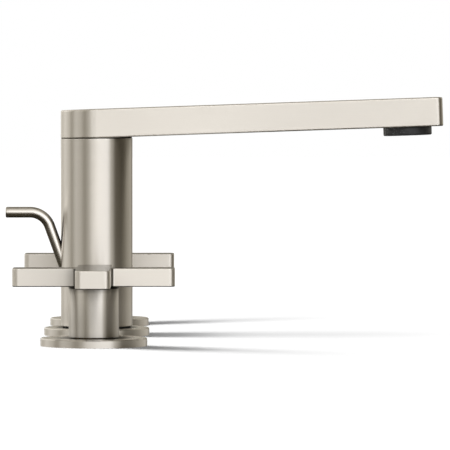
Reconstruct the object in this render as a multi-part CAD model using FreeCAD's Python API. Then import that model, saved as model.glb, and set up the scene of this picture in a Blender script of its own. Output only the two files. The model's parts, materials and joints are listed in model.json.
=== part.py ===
import FreeCAD
import Part
import math
import os

# Three-hole basin faucet in millimetres: a flat spout arm on a round column, a cross handle on a
# quarter-turn valve to each side of it, and a lift rod that slides through the back of the column.
# X runs out along the spout, Y from the hot handle to the cold one and Z up. The origin lies on the
# top of the deck, under the column's axis.

vector = FreeCAD.Vector
up = vector(0, 0, 1)

# The deck and its holes
deck_thickness = 30.0
handle_spacing = 203.2

# Fits: a slip fit in one body, a running fit across a joint, a gap seen from outside
slip = 0.1
running = 0.08
face_gap = 0.05

# Escutcheons, with the gaskets let into their undersides
escutcheon_thickness = 4.0
spout_escutcheon_diameter = 55.4
handle_escutcheon_diameter = 54.0
escutcheon_bevel = 0.5
gasket_thickness = 1.0
gasket_width = 6.0
gasket_rim = 2.5

# Column of the spout, on a dark seal ring
column_diameter = 37.7
column_wall = 2.4
column_top_z = 103.2
column_bevel = 0.3
base_seal_thickness = 0.8
base_seal_setback = 1.0
base_seal_width = 3.2

# Spout arm, rising a little towards its tip
arm_reach = 163.8
arm_overhang = 18.05
arm_rise_degrees = 2.0
arm_root_thickness = 15.1
arm_tip_thickness = 15.1
arm_corner_radius = 3.5
arm_edge_round = 0.8
arm_joint_gap = 0.1
spigot_length = 12.0

# Water channel in the arm
channel_floor = 7.8
channel_height = 4.1
channel_width = 26.0
channel_back = 4.5

# Aerator, screwed into a pocket in the arm's underside
aerator_diameter = 25.5
aerator_drop = 4.5
aerator_bevel = 0.4
aerator_thread_diameter = 23.8
aerator_bore_diameter = 20.6
aerator_neck_height = 6.2
aerator_washer_thickness = 1.5
aerator_throat_diameter = 17.0
grid_thickness = 3.0
grid_recess = 0.8
grid_cell_flats = 2.2
grid_cell_pitch = 2.8
grid_rings = 3
core_plate_thickness = 1.5
core_wall = 1.6
core_jet_diameter = 2.0
core_jet_circle = 10.5
core_jet_count = 8

# Base plug that closes the foot of the column and takes the stud, the water tube and the rod guide
plug_height = 9.0
stud_diameter = 8.0
stud_offset = (2.0, -9.5)
stud_below_deck = 56.0
tube_diameter = 10.0
tube_wall = 1.0
tube_offset = (2.0, 9.0)
tube_below_deck = 66.0
tube_socket_depth = 7.0
tube_seal_width = 1.3
tube_seal_height = 2.2

# Clamp under the deck
clamp_diameter = 46.0
clamp_rubber_thickness = 2.0
clamp_steel_thickness = 2.0
clamp_slot_margin = 0.8
clamp_slot_back = 6.0
stud_nut_flats = 13.0
stud_nut_height = 6.5

# Tee under the spout, where the two hoses of the valves meet
tee_diameter = 16.0
tee_height = 22.0
tee_socket_depth = 9.0
tee_port_reach = 24.0
tee_port_turn_degrees = 25.0
tee_port_above_foot = 8.5

# Hose ports of the tee and the valves: a shoulder, then a threaded nipple
port_diameter = 13.0
port_length = 12.0
port_bore_diameter = 7.0
port_shoulder_diameter = 15.0

# Lift rod, bent over at the top
rod_diameter = 5.7
rod_lean_degrees = 20.0
rod_entry_z = 41.15
rod_bend_radius = 11.0
rod_handle_z = 64.7
rod_handle_end_x = -47.93
rod_below_deck = 95.0
rod_end_bevel = 0.4
rod_wall_clearance = 0.3
guide_wall = 1.3
guide_above_deck = 20.0

# Cross handle with its hub and skirt
cross_span = 82.0
cross_arm_width = 17.6
cross_thickness = 9.3
cross_top_z = 39.35
cross_tip_radius = 2.9
cross_inner_radius = 1.9
cross_edge_round = 0.5
skirt_diameter = 25.4
skirt_wall = 2.2
skirt_gap = 0.55
hub_length = 17.0
hub_bore_depth = 13.0
set_screw_diameter = 5.0
set_screw_length = 5.0
set_screw_below_cross = 10.5
set_screw_socket_flats = 2.5
set_screw_socket_depth = 2.5
screw_hole_clearance = 0.2

# Splined stem of the valve
stem_diameter = 8.0
stem_spline_length = 12.0
spline_teeth = 20
spline_depth = 0.4
stem_end_gap = 0.8
stem_flange_diameter = 14.0
stem_flange_height = 3.7
clip_thickness = 0.8
clip_width = 1.9
clip_groove_depth = 0.7
clip_mouth = 4.0
stem_ring_width = 0.9
stem_ring_height = 1.8
stem_ring_below_collar = 4.2
drive_tab_width = 3.0
drive_tab_length = 1.9
drive_tab_height = 1.3

# Ceramic discs and the seal under them
disc_thickness = 3.0
disc_port_radius = 4.6
disc_port_degrees = 80.0
disc_rib = 1.6
disc_ear_width = 3.0
disc_ear_reach = 1.2
disc_seal_height = 4.9
disc_seal_bore_diameter = 8.4

# Cartridge body
cartridge_diameter = 17.4
cartridge_hex_flats = 17.0
cartridge_hex_height = 4.0
cartridge_collar_diameter = 12.0
cartridge_collar_height = 1.7
cartridge_wall = 1.5
cartridge_top_wall = 11.8
cartridge_window_width = 6.0
cartridge_window_height = 4.5
cartridge_ring_width = 1.2
cartridge_ring_height = 1.8
cartridge_ring_drop = 1.5

# Valve body
valve_barrel_diameter = 29.0
valve_neck_diameter = 21.2
valve_neck_height = 3.8
valve_shoulder_drop = 0.5
valve_barrel_below_deck = 64.0
valve_inlet_diameter = 20.7
valve_inlet_length = 20.0
valve_inlet_bore_diameter = 13.0
valve_gallery_diameter = 20.6
valve_gallery_margin = 0.6
valve_passage_diameter = 3.6
valve_port_reach = 29.0
valve_port_above_foot = 8.5
valve_port_turn_degrees = 20.0
lock_nut_flats = 38.0
lock_nut_height = 7.5
valve_washer_diameter = 46.0
valve_rubber_thickness = 2.0
valve_steel_thickness = 1.5

# Sizes that follow
column_radius = column_diameter / 2
column_bore_radius = column_radius - column_wall
column_foot_z = escutcheon_thickness + base_seal_thickness
rise = math.radians(arm_rise_degrees)
lean = math.radians(rod_lean_degrees)
arm_floor_z = column_top_z + arm_joint_gap + column_radius * math.tan(rise)
rod_radius = rod_diameter / 2
rod_down = vector(math.sin(lean), 0, -math.cos(lean))
handle_ys = {"hot": -handle_spacing / 2, "cold": handle_spacing / 2}


def cylinder(radius, low, high, x=0.0, y=0.0):
    """An upright cylinder between two heights."""
    return Part.makeCylinder(radius, high - low, vector(x, y, low), up)


def ring(inner, outer, low, high, x=0.0, y=0.0):
    """An upright tube between two heights."""
    return cylinder(outer, low, high, x, y).cut(cylinder(inner, low, high, x, y))


def turned(profile, x=0.0, y=0.0):
    """A solid of revolution from (radius, height) points about an upright axis."""
    points = [vector(x + r, y, z) for r, z in profile]
    face = Part.Face(Part.makePolygon(points + points[:1]))
    return face.revolve(vector(x, y, 0), up, 360)


def prism(points, low, high):
    """An upright prism over a closed outline of (x, y) points."""
    corners = [vector(x, y, low) for x, y in points]
    return Part.Face(Part.makePolygon(corners + corners[:1])).extrude(up * (high - low))


def hexagon(flats, x=0.0, y=0.0, turn=0.0):
    """The six corners of a hexagon of a width across its flats."""
    corner = flats / math.sqrt(3)
    angles = [turn + math.radians(60 * k) for k in range(6)]
    return [(x + corner * math.cos(a), y + corner * math.sin(a)) for a in angles]


def hose_port(start, turn_degrees, side, reach):
    """Shoulder and nipple of a hose port, level, turned from the Y axis towards the wall."""
    direction = port_direction(turn_degrees, side)
    shoulder = Part.makeCylinder(
        port_shoulder_diameter / 2, reach - port_length, start, direction
    )
    return shoulder.fuse(Part.makeCylinder(port_diameter / 2, reach, start, direction))


def port_direction(turn_degrees, side):
    """The way a hose port points: along Y to one side, turned by an angle towards the wall."""
    turn = math.radians(turn_degrees)
    return vector(-math.sin(turn), side * math.cos(turn), 0)


def box(low, high):
    """A block between two corners."""
    size = vector(*high) - vector(*low)
    return Part.makeBox(size.x, size.y, size.z, vector(*low))


def on_rod(z):
    """The point of the lift rod's leaning axis at a height."""
    along = (rod_entry_z - z) * math.tan(lean)
    return vector(-column_radius + along, 0, z)


def leaning_cylinder(radius, low, high):
    """A cylinder about the lift rod's axis between two heights of that axis."""
    start = on_rod(high)
    return Part.makeCylinder(radius, start.distanceToPoint(on_rod(low)), start, rod_down)


def in_arm_frame(shape):
    """Carries a shape from the arm's own frame, on its underside, to the faucet's."""
    moved = shape.copy()
    moved.Placement = FreeCAD.Placement(
        vector(0, 0, arm_floor_z), FreeCAD.Rotation(vector(0, 1, 0), -arm_rise_degrees)
    )
    return moved


# Spout arm

outlet_along_arm = arm_reach / math.cos(rise)
arm_length = (arm_reach + arm_overhang) / math.cos(rise)
pocket_depth = aerator_neck_height + aerator_washer_thickness
spigot_foot_z = column_top_z - spigot_length
tube_top_z = spigot_foot_z + tube_socket_depth


def arm_blank():
    """The arm's outside: a flat bar, round behind about the column's axis, square in front."""
    def height(x, lift):
        return vector(x, -column_radius, arm_floor_z + x * math.tan(rise) + lift)

    tip_x = arm_length * math.cos(rise)
    taper = (arm_root_thickness - arm_tip_thickness) / tip_x
    back = height(-column_radius, 0)
    back_top = height(-column_radius, arm_root_thickness + taper * column_radius)
    tip = height(tip_x, 0)
    tip_top = tip + vector(-math.sin(rise), 0, math.cos(rise)) * arm_tip_thickness
    side = Part.Face(Part.makePolygon([back, tip, tip_top, back_top, back]))
    bar = side.extrude(vector(0, column_diameter, 0))
    above = column_top_z + 2 * arm_root_thickness
    plan = cylinder(column_radius, column_top_z, above).fuse(
        box((0, -column_radius, column_top_z), (2 * arm_length, column_radius, above))
    )
    bar = bar.common(plan).removeSplitter()
    corners = [e for e in bar.Edges if is_tip_corner(e, tip_x)]
    bar = bar.makeFillet(arm_corner_radius, corners)
    return bar.makeFillet(arm_edge_round, [e for e in bar.Edges if is_rim(e)])


def is_tip_corner(edge, tip_x):
    """Whether an edge is one of the two upright corners at the arm's tip."""
    a, b = (v.Point for v in edge.Vertexes) if len(edge.Vertexes) == 2 else (vector(), vector())
    at_tip = min(a.x, b.x) > tip_x - arm_root_thickness
    return at_tip and abs(a.z - b.z) > arm_tip_thickness / 2


def is_rim(edge):
    """Whether an edge runs round the arm's top or underside."""
    box_of_edge = edge.BoundBox
    rise_of_edge = box_of_edge.XLength * math.tan(rise)
    return box_of_edge.ZLength < rise_of_edge + arm_edge_round


def spout_arm():
    """The arm with its spigot, water channel, riser and aerator pocket."""
    spigot = cylinder(column_bore_radius - slip, spigot_foot_z, arm_floor_z + arm_edge_round)
    half = channel_width / 2
    channel = box(
        (-channel_back, -half, channel_floor),
        (outlet_along_arm + aerator_throat_diameter / 2, half, channel_floor + channel_height),
    )
    pocket = cylinder(aerator_thread_diameter / 2 + slip, -1, pocket_depth, outlet_along_arm)
    throat = cylinder(aerator_throat_diameter / 2, 0, channel_floor + 1, outlet_along_arm)
    inside = in_arm_frame(channel.fuse([pocket, throat]))
    bore = tube_diameter / 2
    x, y = tube_offset
    riser_top = arm_floor_z + channel_floor + channel_height / 2
    riser = cylinder(bore - tube_wall, tube_top_z, riser_top, x, y)
    socket = cylinder(bore + slip, spigot_foot_z, tube_top_z, x, y)
    groove_foot = spigot_foot_z + (tube_socket_depth - tube_seal_height) / 2
    groove = cylinder(
        bore + slip + tube_seal_width, groove_foot, groove_foot + tube_seal_height, x, y
    )
    return arm_blank().fuse(spigot).cut([inside, riser, socket, groove]).removeSplitter()


def tube_seal():
    """Rubber ring round the top of the water tube, in its groove in the spigot."""
    x, y = tube_offset
    foot = spigot_foot_z + (tube_socket_depth - tube_seal_height) / 2 + face_gap
    inner = tube_diameter / 2 + face_gap
    return ring(inner, inner + tube_seal_width, foot, foot + tube_seal_height - 2 * face_gap, x, y)


# Aerator, modelled about its own axis and set into the arm's underside

def aerator_housing():
    """Black screw-in housing: a smooth collar below the arm and a threaded neck above."""
    bore = aerator_bore_diameter / 2
    outer = aerator_diameter / 2
    neck = aerator_thread_diameter / 2
    return in_arm_frame(turned([
        (bore, -aerator_drop),
        (outer - aerator_bevel, -aerator_drop),
        (outer, -aerator_drop + aerator_bevel),
        (outer, -face_gap),
        (neck, -face_gap),
        (neck, aerator_neck_height),
        (bore, aerator_neck_height),
    ], outlet_along_arm))


def cell_centres():
    """Centres of the honeycomb's cells, in rings about the middle one."""
    step = grid_cell_pitch
    for a in range(-grid_rings, grid_rings + 1):
        for b in range(-grid_rings, grid_rings + 1):
            if abs(a + b) <= grid_rings:
                yield step * (a + b / 2), step * b * math.sqrt(3) / 2


def aerator_grid():
    """Honeycomb that straightens the stream, just inside the housing's mouth."""
    low = -aerator_drop + grid_recess
    high = low + grid_thickness
    disc = cylinder(aerator_bore_diameter / 2 - slip, low, high, outlet_along_arm)
    quarter_turn = math.radians(30)
    cells = [
        prism(hexagon(grid_cell_flats, outlet_along_arm + x, y, quarter_turn), low, high)
        for x, y in cell_centres()
    ]
    return in_arm_frame(disc.cut(cells))


def aerator_core():
    """Cup above the honeycomb, whose floor of small jets draws in the air."""
    low = -aerator_drop + grid_recess + grid_thickness + face_gap
    outer = aerator_bore_diameter / 2 - slip
    cup = cylinder(outer, low, aerator_neck_height, outlet_along_arm)
    hollow = cylinder(
        outer - core_wall, low, aerator_neck_height - core_plate_thickness, outlet_along_arm
    )
    jets = []
    for k in range(core_jet_count):
        turn = 2 * math.pi * k / core_jet_count
        x = outlet_along_arm + core_jet_circle / 2 * math.cos(turn)
        y = core_jet_circle / 2 * math.sin(turn)
        jets.append(cylinder(core_jet_diameter / 2, low, aerator_neck_height, x, y))
    return in_arm_frame(cup.cut([hollow] + jets))


def aerator_washer():
    """Rubber washer between the housing's neck and the end of the pocket."""
    return in_arm_frame(ring(
        aerator_throat_diameter / 2,
        aerator_thread_diameter / 2,
        aerator_neck_height,
        pocket_depth,
        outlet_along_arm,
    ))


# Column, its seal and its plug

def spout_column():
    """The round column, with the slanting hole of the lift rod in its back."""
    bore = column_bore_radius
    wall = turned([
        (bore, column_foot_z),
        (column_radius - column_bevel, column_foot_z),
        (column_radius, column_foot_z + column_bevel),
        (column_radius, column_top_z - column_bevel),
        (column_radius - column_bevel, column_top_z),
        (bore, column_top_z),
    ])
    hole = leaning_cylinder(rod_radius + rod_wall_clearance, column_foot_z, rod_handle_z)
    behind = box((-2 * column_radius, -column_radius, 0), (0, column_radius, rod_handle_z))
    return wall.cut(hole.common(behind))


def base_plug():
    """Brass plug in the foot of the column, bored for the stud, the tube and the rod guide."""
    top = column_foot_z + plug_height
    plug = cylinder(column_bore_radius - slip, column_foot_z, top)
    stud = cylinder(stud_diameter / 2 + face_gap, column_foot_z, top, *stud_offset)
    tube = cylinder(tube_diameter / 2 + slip, column_foot_z, top, *tube_offset)
    guide = leaning_cylinder(guide_radius + slip, column_foot_z - rod_diameter, top + rod_diameter)
    return plug.cut([stud, tube, guide])


def base_seal():
    """Black ring that shows as the dark line between the column and its escutcheon."""
    outer = column_radius - base_seal_setback
    return ring(outer - base_seal_width, outer, escutcheon_thickness, column_foot_z)


def escutcheon(diameter, bore, y):
    """Round cover plate with a bevelled rim and a recess below for its gasket."""
    outer = diameter / 2
    recess_outer = outer - gasket_rim
    recess_inner = recess_outer - gasket_width
    top = escutcheon_thickness
    return turned([
        (bore, 0),
        (recess_inner, 0),
        (recess_inner, gasket_thickness),
        (recess_outer, gasket_thickness),
        (recess_outer, 0),
        (outer, 0),
        (outer, top - escutcheon_bevel),
        (outer - escutcheon_bevel, top),
        (bore, top),
    ], y=y)


def escutcheon_gasket(diameter, y):
    """Foam gasket, flush with the escutcheon's underside."""
    outer = diameter / 2 - gasket_rim - slip
    return ring(outer - gasket_width + 2 * slip, outer, 0, gasket_thickness, y=y)


def spout_escutcheon():
    """Escutcheon of the spout, open in the middle for the stud, the tube and the rod."""
    bore = column_radius - base_seal_setback - base_seal_width + slip
    return escutcheon(spout_escutcheon_diameter, bore, 0)


# Water tube, stud, clamp and tee of the spout

def water_tube():
    """Tube that carries the mixed water from the tee up to the arm."""
    radius = tube_diameter / 2
    return ring(radius - tube_wall, radius, -tube_below_deck, tube_top_z, *tube_offset)


def mounting_stud():
    """Threaded stud that pulls the column down on the deck."""
    top = column_foot_z + plug_height
    return cylinder(stud_diameter / 2, -stud_below_deck, top, *stud_offset)


def clamp_plate(low, high):
    """Horseshoe plate: holed for the stud, slotted from the front for the tube and the rod."""
    stud_x, stud_y = stud_offset
    tube_x, tube_y = tube_offset
    slot_low = -rod_radius - clamp_slot_margin
    slot_high = tube_y + tube_diameter / 2 + clamp_slot_margin
    plate = cylinder(clamp_diameter / 2, low, high)
    corner = (slot_high - slot_low) / 2
    middle = (slot_high + slot_low) / 2
    round_end = cylinder(corner, low, high, corner - clamp_slot_back, middle)
    slot = box((corner - clamp_slot_back, slot_low, low), (clamp_diameter, slot_high, high))
    hole = cylinder(stud_diameter / 2 + slip, low, high, stud_x, stud_y)
    return plate.cut([round_end, slot, hole])


def stud_nut():
    """Hexagon nut on the stud, up against the clamp."""
    high = -deck_thickness - clamp_rubber_thickness - clamp_steel_thickness
    low = high - stud_nut_height
    return prism(hexagon(stud_nut_flats, *stud_offset), low, high).cut(
        cylinder(stud_diameter / 2 + face_gap, low, high, *stud_offset)
    )


def supply_tee():
    """Tee on the foot of the water tube, with a hose port to each valve."""
    x, y = tube_offset
    top = -tube_below_deck + tee_socket_depth
    foot = top - tee_height
    port_z = foot + tee_port_above_foot
    middle = vector(x, y, port_z)
    across = port_direction(tee_port_turn_degrees, -1)
    start = middle - across * tee_port_reach
    ports = [
        hose_port(middle, tee_port_turn_degrees, -1, tee_port_reach),
        hose_port(middle, 180 + tee_port_turn_degrees, -1, tee_port_reach),
    ]
    body = cylinder(tee_diameter / 2, foot, top, x, y)
    socket = cylinder(tube_diameter / 2 + slip, -tube_below_deck, top, x, y)
    drop = cylinder(tube_diameter / 2 - tube_wall, port_z, top, x, y)
    bore = Part.makeCylinder(port_bore_diameter / 2, 2 * tee_port_reach, start, across)
    return body.fuse(ports).cut([socket, drop, bore]).removeSplitter()


# Lift rod and its guide

guide_radius = rod_radius + running + guide_wall


def lift_rod():
    """Round rod: a level finger piece, a bend, and a straight run that leans through the column."""
    turn = math.pi / 2 - lean
    meet_x = on_rod(rod_handle_z).x
    tangent = rod_bend_radius * math.tan(turn / 2)
    bend_start = vector(meet_x - tangent, 0, rod_handle_z)
    bend_centre = bend_start - up * rod_bend_radius
    bend_end = vector(meet_x, 0, rod_handle_z) + rod_down * tangent
    end = vector(rod_handle_end_x, 0, rod_handle_z)
    forward = vector(1, 0, 0)
    tip = Part.makeCone(rod_radius - rod_end_bevel, rod_radius, rod_end_bevel, end, forward)
    level_start = end + forward * rod_end_bevel
    level = Part.makeCylinder(rod_radius, bend_start.x - level_start.x, level_start, forward)
    section = Part.Face(Part.Wire(Part.makeCircle(rod_radius, bend_start, forward)))
    bend = section.revolve(bend_centre, vector(0, 1, 0), math.degrees(turn))
    foot = on_rod(-rod_below_deck)
    foot_bevel = foot - rod_down * rod_end_bevel
    run = Part.makeCylinder(rod_radius, bend_end.distanceToPoint(foot_bevel), bend_end, rod_down)
    foot_tip = Part.makeCone(
        rod_radius, rod_radius - rod_end_bevel, rod_end_bevel, foot_bevel, rod_down
    )
    return level.fuse([tip, bend, run, foot_tip]).removeSplitter()


def rod_guide():
    """Plastic sleeve in the base plug that keeps the rod on its line."""
    sleeve = leaning_cylinder(guide_radius, 0, guide_above_deck)
    return sleeve.cut(leaning_cylinder(rod_radius + running, -rod_diameter, rod_entry_z))


# Cross handle

cross_foot_z = cross_top_z - cross_thickness
skirt_foot_z = escutcheon_thickness + skirt_gap
skirt_bore_radius = skirt_diameter / 2 - skirt_wall
hub_foot_z = cross_foot_z - hub_length
stem_top_z = hub_foot_z + hub_bore_depth - stem_end_gap
screw_z = cross_foot_z - set_screw_below_cross
stem_radius = stem_diameter / 2


def cross_outline():
    """The plus-shaped outline, one quarter at a time, as (point, corner radius) pairs."""
    reach, half = cross_span / 2, cross_arm_width / 2
    corners = []
    for quarter in range(4):
        c, s = round(math.cos(quarter * math.pi / 2)), round(math.sin(quarter * math.pi / 2))
        steps = (
            (reach, -half, cross_tip_radius),
            (reach, half, cross_tip_radius),
            (half, half, cross_inner_radius),
        )
        for x, y, radius in steps:
            corners.append((vector(c * x - s * y, s * x + c * y, 0), radius))
    return corners


def rounded_wire(corners):
    """A closed wire of straight runs joined by an arc at each corner."""
    count = len(corners)
    edges, ends = [], []
    for k, (point, radius) in enumerate(corners):
        back = (corners[k - 1][0] - point).normalize()
        ahead = (corners[(k + 1) % count][0] - point).normalize()
        setback = radius / math.tan(back.getAngle(ahead) / 2)
        inward = (back + ahead).normalize()
        centre = point + inward * math.hypot(setback, radius)
        middle = centre - inward * radius
        ends.append((point + back * setback, middle, point + ahead * setback))
    for k, (start, middle, end) in enumerate(ends):
        edges.append(Part.Arc(start, middle, end).toShape())
        edges.append(Part.makeLine(end, ends[(k + 1) % count][0]))
    return Part.Wire(edges)


def spline_outline(radius, depth, gap, y):
    """Toothed outline of the stem's spline, or of its hole when it has a gap."""
    points = []
    tooth = 2 * math.pi / spline_teeth
    for k in range(spline_teeth):
        for share, r in ((-0.32, -depth), (-0.14, 0), (0.14, 0), (0.32, -depth)):
            angle = tooth * (k + share)
            length = radius + r + gap
            points.append((length * math.cos(angle), y + length * math.sin(angle)))
    return points


def handle_cross(y):
    """The cross with its hub: splined for the stem, cross-drilled for the set screw."""
    blank = Part.Face(rounded_wire(cross_outline())).extrude(up * cross_thickness)
    rims = [e for e in blank.Edges if e.BoundBox.ZLength < cross_edge_round]
    blank = blank.makeFillet(cross_edge_round, rims)
    blank.translate(vector(0, y, cross_foot_z))
    hub = cylinder(skirt_bore_radius - slip, hub_foot_z, cross_foot_z + cross_edge_round, 0, y)
    splined_from = stem_top_z - stem_spline_length
    clearance = cylinder(stem_radius + slip, hub_foot_z, splined_from, 0, y)
    outline = spline_outline(stem_radius, spline_depth, face_gap, y)
    bore = prism(outline, splined_from, hub_foot_z + hub_bore_depth)
    tapped = Part.makeCylinder(
        set_screw_diameter / 2 + face_gap, skirt_bore_radius, vector(0, y, screw_z), vector(-1, 0, 0)
    )
    return blank.fuse(hub).cut([clearance, bore, tapped]).removeSplitter()


def handle_skirt(y):
    """Smooth sleeve below the cross, hiding the cartridge, with the set screw's access hole."""
    radius = skirt_diameter / 2
    hole = Part.makeCylinder(
        set_screw_diameter / 2 + screw_hole_clearance,
        skirt_diameter,
        vector(0, y, screw_z),
        vector(-1, 0, 0),
    )
    return ring(skirt_bore_radius, radius, skirt_foot_z, cross_foot_z, 0, y).cut(hole)


def set_screw(y):
    """Grub screw that bears on the stem, with a hexagon socket in its outer end."""
    inner = stem_radius + running
    outer = inner + set_screw_length
    blank = Part.makeCylinder(
        set_screw_diameter / 2, set_screw_length, vector(-inner, y, screw_z), vector(-1, 0, 0)
    )
    corners = [
        vector(-outer, y + a, screw_z + b) for a, b in hexagon(set_screw_socket_flats)
    ]
    socket = Part.Face(Part.makePolygon(corners + corners[:1]))
    return blank.cut(socket.extrude(vector(set_screw_socket_depth, 0, 0)))


# Quarter-turn cartridge

collar_top_z = valve_neck_height + cartridge_hex_height + cartridge_collar_height
cavity_top_z = collar_top_z - cartridge_top_wall - cartridge_collar_height
cavity_radius = cartridge_diameter / 2 - cartridge_wall
flange_top_z = cavity_top_z - face_gap
flange_foot_z = flange_top_z - stem_flange_height
moving_disc_foot_z = flange_foot_z - disc_thickness
fixed_disc_top_z = moving_disc_foot_z - face_gap
fixed_disc_foot_z = fixed_disc_top_z - disc_thickness
seat_z = fixed_disc_foot_z - disc_seal_height


def drive_tabs(gap, y):
    """The two tabs under the stem's flange, or the notches for them when there is a gap."""
    outer = stem_flange_diameter / 2
    half = drive_tab_width / 2 + gap
    inner = outer - drive_tab_length - gap
    low = flange_foot_z - drive_tab_height - gap
    plate = box((inner, y - half, low), (outer + gap, y + half, flange_foot_z))
    pair = plate.fuse(plate.mirror(vector(0, y, 0), vector(1, 0, 0)))
    return pair.common(cylinder(outer + gap, low, flange_foot_z, 0, y))


def valve_stem(y):
    """Brass stem: a flange that drives the disc, two ring grooves and a splined head."""
    shank_top = stem_top_z - stem_spline_length
    clip_low = collar_top_z + face_gap
    clip_high = clip_low + clip_thickness + 2 * face_gap
    ring_low = collar_top_z - stem_ring_below_collar
    ring_high = ring_low + stem_ring_height + 2 * face_gap
    shank = turned([
        (0, flange_foot_z),
        (stem_flange_diameter / 2, flange_foot_z),
        (stem_flange_diameter / 2, flange_top_z),
        (stem_radius, flange_top_z),
        (stem_radius, ring_low),
        (stem_radius - stem_ring_width, ring_low),
        (stem_radius - stem_ring_width, ring_high),
        (stem_radius, ring_high),
        (stem_radius, clip_low),
        (stem_radius - clip_groove_depth, clip_low),
        (stem_radius - clip_groove_depth, clip_high),
        (stem_radius, clip_high),
        (stem_radius, shank_top),
        (0, shank_top),
    ], y=y)
    head = prism(spline_outline(stem_radius, spline_depth, 0, y), shank_top, stem_top_z)
    return shank.fuse([head, drive_tabs(0, y)])


def stem_ring(y):
    """Rubber ring in the stem's lower groove, which keeps the water below the collar."""
    low = collar_top_z - stem_ring_below_collar + face_gap
    inner = stem_radius - stem_ring_width + face_gap
    return ring(inner, stem_radius, low, low + stem_ring_height, 0, y)


def stem_clip(y):
    """Spring clip in the stem's groove, above the cartridge's collar."""
    low = collar_top_z + 2 * face_gap
    inner = stem_radius - clip_groove_depth + face_gap
    full = ring(inner, inner + clip_width, low, low + clip_thickness, 0, y)
    mouth = box((0, y - clip_mouth / 2, low), (stem_diameter, y + clip_mouth / 2, low + clip_thickness))
    return full.cut(mouth)


def disc_ports(low, radius, y):
    """Two facing ports of a ceramic disc, each a sector, with a rib between them."""
    half = math.radians(disc_port_degrees / 2)
    high = low + disc_thickness
    tips = [radius * math.cos(half), radius * math.sin(half)]
    edges = [
        Part.makeLine(vector(), vector(tips[0], -tips[1], 0)),
        Part.Arc(vector(tips[0], -tips[1], 0), vector(radius, 0, 0), vector(*tips, 0)).toShape(),
        Part.makeLine(vector(*tips, 0), vector()),
    ]
    sector = Part.Face(Part.Wire(edges)).extrude(up * (high - low))
    sector.translate(vector(disc_rib / 2, y, low))
    return sector.fuse(sector.mirror(vector(0, y, 0), vector(1, 0, 0)))


def moving_disc(y):
    """Upper ceramic disc, open at its sides, shut while its ports lie across the fixed ones."""
    outer = stem_flange_diameter / 2
    low = moving_disc_foot_z
    ports = disc_ports(low, 2 * outer, y)
    ports.rotate(vector(0, y, 0), up, 90)
    disc = cylinder(outer, low, low + disc_thickness, 0, y)
    return disc.cut([ports, drive_tabs(face_gap, y)])


def disc_ears(gap, low, y):
    """The ears that stop the fixed disc from turning, or the slots for them."""
    half = disc_ear_width / 2 + gap
    reach = cavity_radius + disc_ear_reach + gap
    bar = box((-half, y - reach, low), (half, y + reach, fixed_disc_top_z + gap))
    return bar.cut(cylinder(cavity_radius - 2 * slip, low, fixed_disc_top_z + gap, 0, y))


def fixed_disc(y):
    """Lower ceramic disc, with its two ports and its ears."""
    low = fixed_disc_foot_z
    disc = cylinder(cavity_radius - slip, low, low + disc_thickness, 0, y)
    disc = disc.fuse(disc_ears(0, low, y)).removeSplitter()
    return disc.cut(disc_ports(low, disc_port_radius, y))


def disc_seal(y):
    """Rubber sleeve that presses the discs together and seals on the valve's seat."""
    return ring(
        disc_seal_bore_diameter / 2, cavity_radius - slip, seat_z, fixed_disc_foot_z, 0, y
    )


def cartridge_body(y):
    """Brass cartridge body: hexagon, collar, bored for the stem and windowed at the discs."""
    radius = cartridge_diameter / 2
    hex_top = valve_neck_height + cartridge_hex_height
    groove_top = valve_neck_height - cartridge_ring_drop
    groove_foot = groove_top - cartridge_ring_height - 2 * face_gap
    barrel = cylinder(radius, seat_z + slip, valve_neck_height, 0, y)
    hexagon_head = prism(hexagon(cartridge_hex_flats, 0, y), valve_neck_height, hex_top)
    collar = cylinder(cartridge_collar_diameter / 2, hex_top, collar_top_z, 0, y)
    half = cartridge_window_width / 2
    window_low = moving_disc_foot_z
    inside = [
        cylinder(stem_radius + running, seat_z, collar_top_z, 0, y),
        cylinder(cavity_radius, seat_z, cavity_top_z, 0, y),
        ring(radius - cartridge_ring_width, radius + slip, groove_foot, groove_top, 0, y),
        box(
            (-cartridge_diameter, y - half, window_low),
            (cartridge_diameter, y + half, window_low + cartridge_window_height),
        ),
        disc_ears(face_gap, seat_z, y),
    ]
    return barrel.fuse([hexagon_head, collar]).cut(inside).removeSplitter()


def cartridge_ring(y):
    """Rubber ring round the cartridge, which seals it in the valve body."""
    outer = cartridge_diameter / 2 + face_gap
    inner = outer - cartridge_ring_width
    high = valve_neck_height - cartridge_ring_drop - face_gap
    return ring(inner, outer, high - cartridge_ring_height, high, 0, y)


# Valve body and what clamps it

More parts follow.
